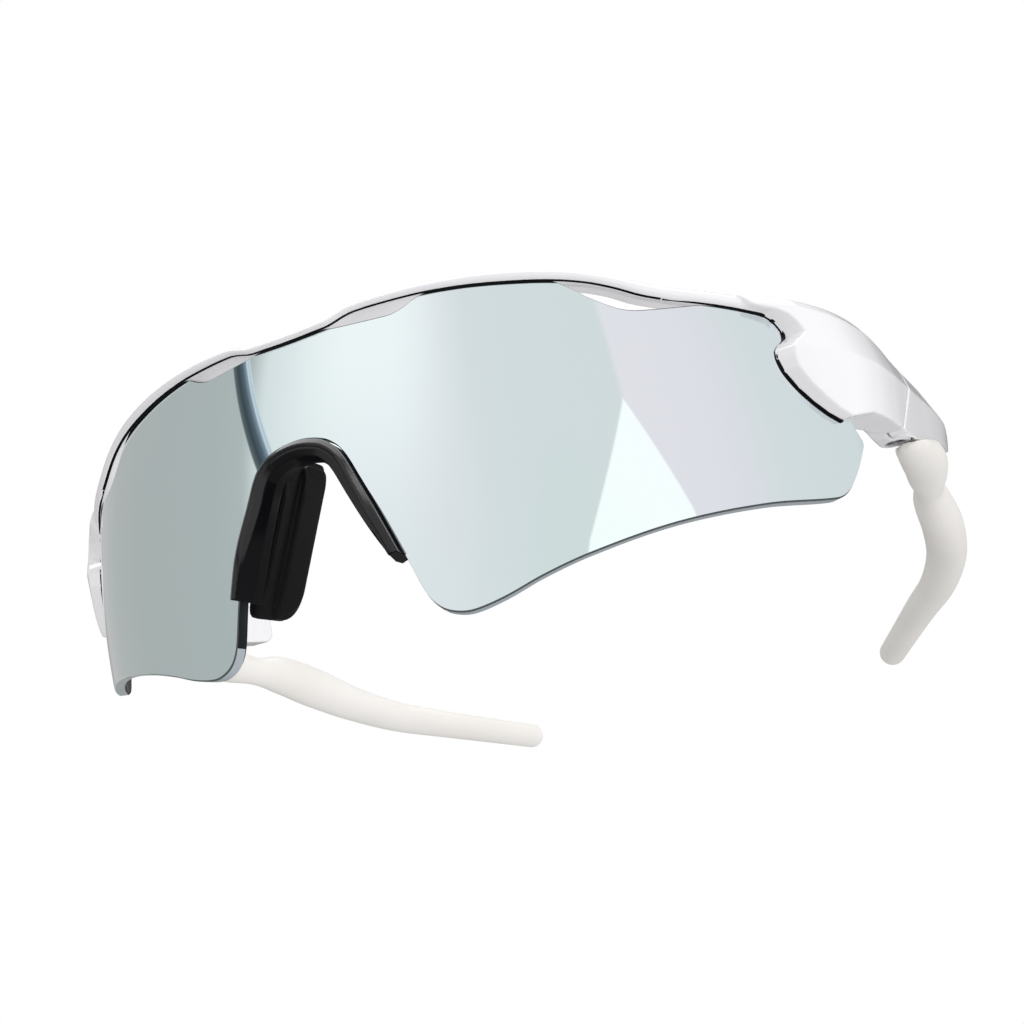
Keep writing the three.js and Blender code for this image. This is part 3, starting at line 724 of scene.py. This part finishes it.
# ------------------------------------------------------------------ temples
sleeve_line = curve_points([
    (72.2, SLEEVE_START, -5.6), (72.2, 74, -5.9), (71, 81, -7), (70, 86.5, -7.8),
    (69.1, 94, -8.4), (68.2, 105, -10.6), (66, 116.1, -13.8), (61.6, 126.5, -17),
    (55.5, 136.5, -19.5), (43.9, SLEEVE_TIP, -23.8),
], 24)
sleeve_along = unit(np.gradient(sleeve_line, axis=0))
sleeve_width = through([
    (SLEEVE_START, 2.7), (73, 3.6), (79, 3.3), (86, 2.4), (93, 3.2), (104, 3.7), (118, 3.6),
    (136, 3.1), (150, 2.8), (SLEEVE_TIP, TIP_RADIUS),
])
sleeve_height = through([
    (SLEEVE_START, 2.6), (73, 3.7), (79, 3.6), (86, 2.9), (93, 3.9), (104, 4.3), (118, 3.6),
    (136, 3), (150, 2.8), (SLEEVE_TIP, TIP_RADIUS),
])


def round_ring(centre, along, width, height):
    """Ellipse square to the direction along."""
    side = unit(np.cross(along, (0, 0, 1)))
    up = np.cross(side, along)
    a = np.linspace(0, 2 * math.pi, 48, endpoint=False)[:, None]
    return centre + side * np.cos(a) * width + up * np.sin(a) * height


def sleeve_loft(name):
    """Sleeve along its line, with a round tip."""
    rings = []
    for centre, along in zip(sleeve_line, sleeve_along):
        width, height = float(sleeve_width(centre[1])), float(sleeve_height(centre[1]))
        rings.append(round_ring(centre, along, width, height))
    for reach in np.sin(np.radians(np.linspace(12, 84, 10))):
        size = TIP_RADIUS * math.sqrt(1 - reach**2)
        centre = sleeve_line[-1] + sleeve_along[-1] * TIP_RADIUS * reach
        rings.append(round_ring(centre, sleeve_along[-1], size, size))
    return loft(name, rings)


block_bottom = [(57, -5), (62, -5.1), (75, -3), (92, -1)]


def block_outline(shift):
    """Side outline of the temple block, its lower and rear edges moved out by shift."""
    return [
        (SEAM_TOP[0] + SEAM_GAP / 2, SEAM_TOP[1]), (SEAM_BOTTOM[0] + SEAM_GAP / 2, SEAM_BOTTOM[1]),
        *[(y, z - shift) for y, z in block_bottom], (93.4 + shift, 0.4 - shift),
        (93.4 + shift, 3.6 + shift), (91.5, 5 + shift), (88, 14), (SEAM_TOP[0] + 2, 14),
    ]


def temple_arm(name):
    """White block behind the parting line, with its hinge knuckle."""
    block = band("block", 53, 94, 84)
    cutter = extrude("cutter", block_outline(0), *SIDE_SPAN, 0)
    room = post("room", KNUCKLE_RADIUS + GAP, (LOWER_KNUCKLE[0] - 1, UPPER_KNUCKLE[1] + GAP))
    inside = extrude("inside", [(50, -12), (HINGE_Y, -12), (HINGE_Y, 12), (50, 12)],
                     HINGE_X - 6, HINGE_X + 0.25, 0)
    boolean(block, [cutter], "INTERSECT")
    boolean(block, [room, inside])
    knuckle = post("knuckle", KNUCKLE_RADIUS, TEMPLE_KNUCKLE)
    web = extrude("web", [(HINGE_Y, TEMPLE_KNUCKLE[0]), (HINGE_Y + 5, TEMPLE_KNUCKLE[0]),
                          (HINGE_Y + 5, TEMPLE_KNUCKLE[1]), (HINGE_Y, TEMPLE_KNUCKLE[1])],
                  HINGE_X - 0.6, HINGE_X + 2.3, 0)
    drop(cutter, room, inside)
    piece = mould(joined(name, [block, knuckle, web]), 0.22, 4)
    piece.data.materials.append(white_plastic)
    return piece


# Rounded start of the sleeve under the hinge: centre and half height of each ring.
WEDGE = [
    ((71.6, 61.6, -5.9), 0.5), ((71.75, 62.1, -5.95), 0.9), ((71.9, 62.6, -5.95), 1.2),
    ((72.1, 63.8, -5.8), 1.9), ((72.2, 65.3, -5.62), 2.5),
]


def ear_sleeve(name):
    """Cream sleeve with room for the block above it and for the fixed knuckles."""
    sleeve = sleeve_loft("sleeve")
    backward = np.array([0.0, 1.0, 0.0])
    wedge = loft("wedge", [
        round_ring(np.array(centre), backward, size + 0.3, size) for centre, size in WEDGE
    ])
    cutter = extrude("cutter", block_outline(0.2), *SIDE_SPAN, 0)
    room = post("room", KNUCKLE_RADIUS + GAP, (LOWER_KNUCKLE[0] - GAP, UPPER_KNUCKLE[1]))
    boolean(sleeve, [cutter, room])
    boolean(wedge, [cutter, room])
    drop(cutter, room)
    piece = mould(joined(name, [sleeve, wedge]), 0.22, 4)
    piece.data.materials.append(cream_rubber)
    return piece


left_arm = temple_arm("left_temple_arm_fine")
right_arm = mirror_copy(left_arm, "right_temple_arm_fine")
left_sleeve = ear_sleeve("left_ear_sleeve_fine")
right_sleeve = mirror_copy(left_sleeve, "right_ear_sleeve_fine")

# --------------------------------------------------- what rides on what
FRONT_PIECES = [
    (front, "front_frame", "gloss_white_frame"), (lens, "shield_lens", "mirror_shield"),
    (arch, "nose_bridge", "black_nosepiece"), (brow_strip, "brow_lens_gasket", "black_lens_gasket"),
    (left_strip, "left_side_lens_gasket", "black_lens_gasket"),
    (right_strip, "right_side_lens_gasket", "black_lens_gasket"),
    (left_pad, "left_nose_pad", "black_pad_rubber"), (right_pad, "right_nose_pad", "black_pad_rubber"),
]
SIDE_PIECES = [
    ("left", left_arm, left_sleeve), ("right", right_arm, right_sleeve),
]
for piece, node, slot in FRONT_PIECES:
    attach(piece, "front")
    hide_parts(node)
for side, arm, sleeve in SIDE_PIECES:
    for piece, node, slot in [(arm, "temple_arm", "gloss_white_temple"),
                              (sleeve, "ear_sleeve", "cream_sleeve_rubber")]:
        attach(piece, f"{side}_temple")
        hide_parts(f"{side}_{node}")
    for node, finish in [("hinge_screw", steel), ("hinge_insert", brass),
                         ("hinge_upper_washer", nylon), ("hinge_lower_washer", nylon)]:
        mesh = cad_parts[f"{side}_{node}"].data
        mesh.materials.clear()
        mesh.materials.append(finish)

# ------------------------------------------------------------------- camera
# Below the glasses at the wearer's left, looking up and back. EYE is in metres, before
# PUSH and LIFT are added.
EYE = (0.10713156, -0.17321443, -0.06812625)
LOOK = Vector((-0.38870767, 0.88277937, 0.26383125)).normalized()
SIDEWAYS = Vector((0.88328235, 0.43850963, -0.16589634)).normalized()
FOCAL_LENGTH = 53.526
camera_data = bpy.data.cameras.new("camera")
camera_data.sensor_width = 36
camera_data.lens = FOCAL_LENGTH
camera_data.clip_start = 0.01
camera = bpy.data.objects.new("camera", camera_data)
bpy.context.scene.collection.objects.link(camera)
upward = SIDEWAYS.cross(LOOK)
camera.matrix_world = Matrix((
    (SIDEWAYS.x, upward.x, -LOOK.x, EYE[0]),
    (SIDEWAYS.y, upward.y, -LOOK.y, EYE[1] + PUSH * MM),
    (SIDEWAYS.z, upward.z, -LOOK.z, EYE[2] + LIFT * MM),
    (0, 0, 0, 1),
))
bpy.context.scene.camera = camera

# -------------------------------------------------------------- stage, light
# The floor is seen from above only: the camera looks up through it, and it neither
# blocks the light from below nor shows in the reflections.
bpy.ops.mesh.primitive_plane_add(size=6, location=(0, 0, -0.0004))
floor = bpy.context.object
floor.name = "floor"
floor.visible_diffuse = False
floor.visible_glossy = False
floor.visible_shadow = False
floor_material, nodes, links, shader, _ = material("pale_floor")
shader.inputs["Base Color"].default_value = (0.8, 0.8, 0.8, 1)
shader.inputs["Roughness"].default_value = 0.8
under = nodes.new("ShaderNodeNewGeometry")
clear = nodes.new("ShaderNodeBsdfTransparent")
choose = nodes.new("ShaderNodeMixShader")
links.new(under.outputs["Backfacing"], choose.inputs["Fac"])
links.new(shader.outputs["BSDF"], choose.inputs[1])
links.new(clear.outputs["BSDF"], choose.inputs[2])
links.new(choose.outputs["Shader"], nodes["Material Output"].inputs["Surface"])
floor.data.materials.append(floor_material)


def soft_step(nodes, links, value, start, end):
    """Goes from 0 to 1 as the value goes from start to end."""
    n = nodes.new("ShaderNodeMapRange")
    n.interpolation_type = "SMOOTHSTEP"
    n.inputs["From Min"].default_value = start
    n.inputs["From Max"].default_value = end
    links.new(value, n.inputs["Value"])
    return n.outputs["Result"]


# What the mirror sees, by compass degrees round the glasses (0 in front, 90 at the
# wearer's left): grey cloths at the sides, bright diffusers in front.
ROOM = [
    (-180, (0.10, 0.10, 0.10)), (-150, (0.12, 0.12, 0.12)), (-128, (0.54, 0.53, 0.52)),
    (-112, (0.48, 0.475, 0.47)), (-95, (0.465, 0.46, 0.455)),
    (-60, (0.475, 0.475, 0.475)), (-50, (0.50, 0.50, 0.50)), (-44, (0.79, 0.79, 0.79)),
    (-30, (0.84, 0.83, 0.84)), (-8, (0.85, 0.84, 0.85)), (5, (0.84, 0.80, 0.82)),
    (15, (0.79, 0.775, 0.785)), (28, (0.76, 0.76, 0.76)), (51.2, (0.755, 0.755, 0.755)),
    (51.9, (0.88, 0.805, 0.84)), (70, (0.865, 0.79, 0.83)), (78, (0.83, 0.775, 0.81)),
    (88, (0.765, 0.765, 0.765)), (114, (0.73, 0.74, 0.74)), (140, (0.15, 0.15, 0.15)),
    (180, (0.10, 0.10, 0.10)),
]
APEX = (51.4, 22.7)      # degrees round from the front and above the horizon
CARD = (1.10, 1.07, 1.05)
# colours across the gap between two cloths, from its left side (0) to its right (1)
DARK_GAP = [
    (0, (0.45, 0.47, 0.47)), (0.06, (0.12, 0.14, 0.15)), (0.3, (0.05, 0.065, 0.08)),
    (0.55, (0.1, 0.13, 0.16)), (0.74, (0.26, 0.31, 0.37)), (0.8, (0.66, 0.72, 0.8)),
    (0.9, (0.5, 0.57, 0.65)), (1, (0.79, 0.79, 0.79)),
]


def studio_world():
    """Plain white behind the object, a soft studio for its light and reflections."""
    world = bpy.data.worlds.new("studio")
    bpy.context.scene.world = world
    world.use_nodes = True
    nodes, links = world.node_tree.nodes, world.node_tree.links
    place = nodes.new("ShaderNodeTexCoord")
    split = nodes.new("ShaderNodeSeparateXYZ")
    links.new(place.outputs["Generated"], split.inputs["Vector"])
    x, y, z = (split.outputs[name] for name in "XYZ")
    degree = 180 / math.pi

    def sum_of(a, b):
        return maths(nodes, links, "ADD", a, b)

    def times(a, b):
        return maths(nodes, links, "MULTIPLY", a, b)

    def step(value, start, end):
        return soft_step(nodes, links, value, start, end)

    turn = times(maths(nodes, links, "ARCTAN2", x, times(y, -1)), degree)
    rise = times(maths(nodes, links, "ARCSINE", z), degree)

    room = ramp(nodes, links, times(sum_of(turn, 180), 1 / 360),
                [((angle + 180) / 360, color) for angle, color in ROOM])
    # brighter high up in front
    middle = times(step(turn, -46, -16), step(turn, 16, -8))
    high = step(rise, 4, 38)
    room = blended(nodes, links, times(times(middle, high), 0.9), room, (1.04, 1.0, 1.0))

    # a white card standing in front at the right, its top corner at APEX
    below = times(sum_of(rise, -APEX[1]), -1)
    beside = sum_of(turn, -APEX[0])
    left_edge = sum_of(beside, times(below, 0.757))
    right_edge = sum_of(times(below, 0.693), times(beside, -1))
    card = step(maths(nodes, links, "MINIMUM", left_edge, right_edge), 0, 0.7)
    room = blended(nodes, links, card, room, CARD)

    # the dark gap between two cloths at the left
    lean = sum_of(turn, times(sum_of(rise, -30), 0.9))
    share = times(sum_of(lean, 52.2), 1 / 7)
    inside = times(step(share, 0, 0.02), step(share, 1, 0.98))
    room = blended(nodes, links, inside, room, ramp(nodes, links, share, DARK_GAP))

    # dark under the horizon and a bright diffuser overhead
    room = blended(nodes, links, step(rise, -3, -16), room, (0.1, 0.1, 0.1))
    room = blended(nodes, links, step(rise, 46, 54), room, (3.5, 3.5, 3.5))

    # soft light from all round, strongest from the right
    slope = sum_of(sum_of(times(z, 0.08), times(x, 0.34)), times(y, 0.1))
    light = sum_of(slope, 0.93)
    tone = nodes.new("ShaderNodeCombineColor")
    for channel, gain in [("Red", 1.0), ("Green", 0.995), ("Blue", 1.01)]:
        links.new(times(light, gain), tone.inputs[channel])

    ray = nodes.new("ShaderNodeLightPath")
    lit = blended(nodes, links, ray.outputs["Is Glossy Ray"], tone.outputs["Color"], room)
    shown = blended(nodes, links, ray.outputs["Is Camera Ray"], lit, (1, 1, 1))
    links.new(shown, nodes["Background"].inputs["Color"])


def key_light():
    """Large soft lamp high in front at the wearer's left."""
    data = bpy.data.lights.new("key_light", "AREA")
    data.shape = "RECTANGLE"
    data.size, data.size_y = 0.5, 0.5
    data.energy = 0.4
    lamp = bpy.data.objects.new("key_light", data)
    bpy.context.scene.collection.objects.link(lamp)
    lamp.location = (0.35, -0.35, 0.8)
    lamp.rotation_mode = "QUATERNION"
    lamp.rotation_quaternion = (Vector((0, 0, 0.02)) - lamp.location).to_track_quat("-Z", "Y")
    lamp.visible_glossy = False


studio_world()
key_light()
bpy.context.scene.view_settings.view_transform = "Standard"
